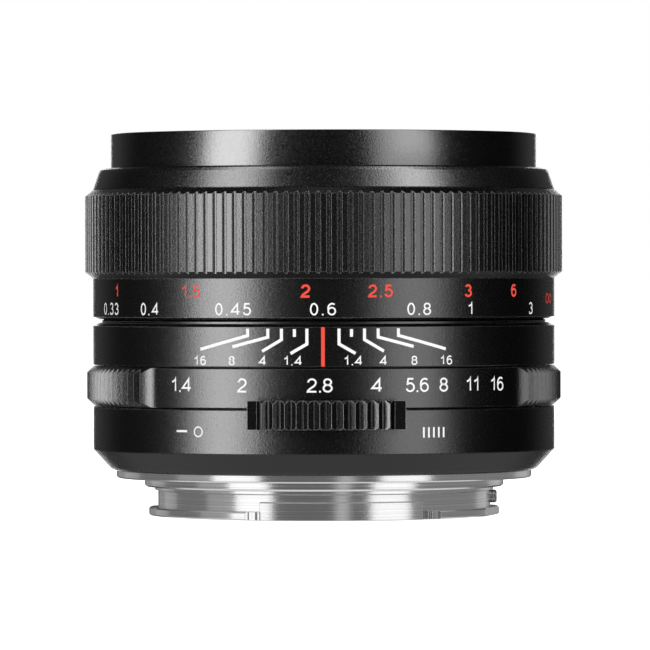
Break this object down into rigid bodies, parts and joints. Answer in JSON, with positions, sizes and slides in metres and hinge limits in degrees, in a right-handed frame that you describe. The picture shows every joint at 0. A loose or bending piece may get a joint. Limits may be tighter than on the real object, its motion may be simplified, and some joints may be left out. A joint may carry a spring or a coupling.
{
  "type": "prime camera lens",
  "caption": "Manual-focus wide prime camera lens with a toothed focus ring, a click-stop aperture ring, an iris, a click switch and a three-lug bayonet mount.",
  "frame": {"origin": "on the optical axis, in the plane of the mount flange that seats on the camera", "axes": "+Z along the optical axis towards the subject, so the front element is up and the bayonet is below the origin; -Y towards the scales' index line; +X to the right seen from the index side"},
  "size_m": [0.068, 0.0692, 0.0544],
  "materials": {
    "chromed_mount": "chromium plated, fine turned",
    "screw_steel": "bright steel",
    "black_screw": "blackened",
    "shim_brass": "turned brass",
    "black_ring": "satin black anodised, bead blasted",
    "focus_grip": "satin black anodised, milled teeth",
    "black_front": "satin black anodised, fine turned",
    "switch_black": "satin black anodised",
    "matte_inside": "matt black",
    "barrel_aluminium": "dark anodised",
    "spring_steel": "plain spring steel",
    "blade_steel": "blued, matt",
    "coated_glass": "polished, coated"
  },
  "bodies": {
    "barrel": {"mount_flange": "chromed_mount", "mount_screws": "screw_steel", "bayonet_stop_screw": "screw_steel", "flange_shim": "shim_brass", "rear_baffle": "matte_inside", "rear_housing": "black_ring", "main_barrel": "barrel_aluminium", "barrel_screws": "screw_steel", "straight_keys": "shim_brass", "key_screws": "black_screw", "dof_ring": "black_ring", "dof_set_screws": "black_screw", "click_holder": "matte_inside"},
    "focus_ring": {"focus_ring": "focus_grip", "focus_ring_screws": "black_screw", "front_bezel": "black_front", "helicoid_ring": "shim_brass", "helicoid_retainer": "shim_brass"},
    "optical_block": {"inner_barrel": "barrel_aluminium", "front_collar": "black_front", "name_ring": "black_front", "front_cell": "matte_inside", "front_retainer": "matte_inside", "second_retainer": "matte_inside", "front_element": "coated_glass", "second_element": "coated_glass", "third_element": "coated_glass", "fourth_element": "coated_glass", "third_element_seat": "matte_inside", "iris_base": "matte_inside", "iris_cover": "matte_inside", "rear_cell": "matte_inside", "fifth_element": "coated_glass", "sixth_element": "coated_glass", "seventh_element": "coated_glass", "rear_element": "coated_glass", "rear_spacer": "matte_inside", "last_spacer": "matte_inside", "rear_retainer": "matte_inside"},
    "iris_cam": {"iris_cam_ring": "barrel_aluminium", "iris_drive_pin": "screw_steel"},
    "aperture_ring": {"aperture_ring": "black_ring", "aperture_drive_fork": "spring_steel", "fork_screws": "screw_steel"},
    "click_switch": {"click_switch": "switch_black", "click_leaf_spring": "spring_steel"},
    "click_plunger": {"click_plunger": "screw_steel"},
    "blade_1": {"iris_blade_1": "blade_steel"},
    "blade_2": {"iris_blade_2": "blade_steel"},
    "blade_3": {"iris_blade_3": "blade_steel"},
    "blade_4": {"iris_blade_4": "blade_steel"},
    "blade_5": {"iris_blade_5": "blade_steel"},
    "blade_6": {"iris_blade_6": "blade_steel"},
    "blade_7": {"iris_blade_7": "blade_steel"},
    "blade_8": {"iris_blade_8": "blade_steel"}
  },
  "joints": [
    {"name": "focus_turn", "type": "hinge", "parent": "barrel", "child": "focus_ring", "pos_m": [0, 0, 0.0315], "axis": [0, 0, 1], "range_deg": [-77.4, 67.8]},
    {"name": "focus_extend", "type": "slide", "parent": "barrel", "child": "optical_block", "axis": [0, 0, 1], "range_m": [-0.00256, 0.00225]},
    {"name": "aperture_turn", "type": "hinge", "parent": "barrel", "child": "aperture_ring", "pos_m": [0, 0, 0.0131], "axis": [0, 0, 1], "range_deg": [-48.6, 38.8]},
    {"name": "iris_turn", "type": "hinge", "parent": "optical_block", "child": "iris_cam", "pos_m": [0, 0, 0.01885], "axis": [0, 0, 1], "range_deg": [-48.7, 38.9]},
    {"name": "click_switch_turn", "type": "hinge", "parent": "barrel", "child": "click_switch", "pos_m": [0, 0, 0.0059], "axis": [0, 0, 1], "range_deg": [-7.3, 0]},
    {"name": "click_plunger_drop", "type": "slide", "parent": "barrel", "child": "click_plunger", "axis": [0, 0, 1], "range_m": [-0.00051, 0]},
    {"name": "blade_1_swing", "type": "hinge", "parent": "optical_block", "child": "blade_1", "pos_m": [0, -0.0194, 0.01678], "axis": [0, 0, 1], "range_deg": [-12.9, 16.2]},
    {"name": "blade_2_swing", "type": "hinge", "parent": "optical_block", "child": "blade_2", "pos_m": [0.01372, -0.01372, 0.01695], "axis": [0, 0, 1], "range_deg": [-12.9, 16.2]},
    {"name": "blade_3_swing", "type": "hinge", "parent": "optical_block", "child": "blade_3", "pos_m": [0.0194, 0, 0.01712], "axis": [0, 0, 1], "range_deg": [-12.9, 16.2]},
    {"name": "blade_4_swing", "type": "hinge", "parent": "optical_block", "child": "blade_4", "pos_m": [0.01372, 0.01372, 0.01729], "axis": [0, 0, 1], "range_deg": [-12.9, 16.2]},
    {"name": "blade_5_swing", "type": "hinge", "parent": "optical_block", "child": "blade_5", "pos_m": [0, 0.0194, 0.01746], "axis": [0, 0, 1], "range_deg": [-12.9, 16.2]},
    {"name": "blade_6_swing", "type": "hinge", "parent": "optical_block", "child": "blade_6", "pos_m": [-0.01372, 0.01372, 0.01763], "axis": [0, 0, 1], "range_deg": [-12.9, 16.2]},
    {"name": "blade_7_swing", "type": "hinge", "parent": "optical_block", "child": "blade_7", "pos_m": [-0.0194, 0, 0.0178], "axis": [0, 0, 1], "range_deg": [-12.9, 16.2]},
    {"name": "blade_8_swing", "type": "hinge", "parent": "optical_block", "child": "blade_8", "pos_m": [-0.01372, -0.01372, 0.01797], "axis": [0, 0, 1], "range_deg": [-12.9, 16.2]}
  ],
  "couplings": [
    {"joint": "focus_extend", "follows": "focus_turn", "m_per_rad": 0.0018939},
    {"joint": "iris_turn", "follows": "aperture_turn", "ratio": 1},
    {"joint": "click_plunger_drop", "follows": "click_switch_turn", "m_per_rad": 0.0039244},
    {"joint": "blade_1_swing", "follows": "aperture_turn", "ratio": -0.33},
    {"joint": "blade_2_swing", "follows": "aperture_turn", "ratio": -0.33},
    {"joint": "blade_3_swing", "follows": "aperture_turn", "ratio": -0.33},
    {"joint": "blade_4_swing", "follows": "aperture_turn", "ratio": -0.33},
    {"joint": "blade_5_swing", "follows": "aperture_turn", "ratio": -0.33},
    {"joint": "blade_6_swing", "follows": "aperture_turn", "ratio": -0.33},
    {"joint": "blade_7_swing", "follows": "aperture_turn", "ratio": -0.33},
    {"joint": "blade_8_swing", "follows": "aperture_turn", "ratio": -0.33}
  ]
}
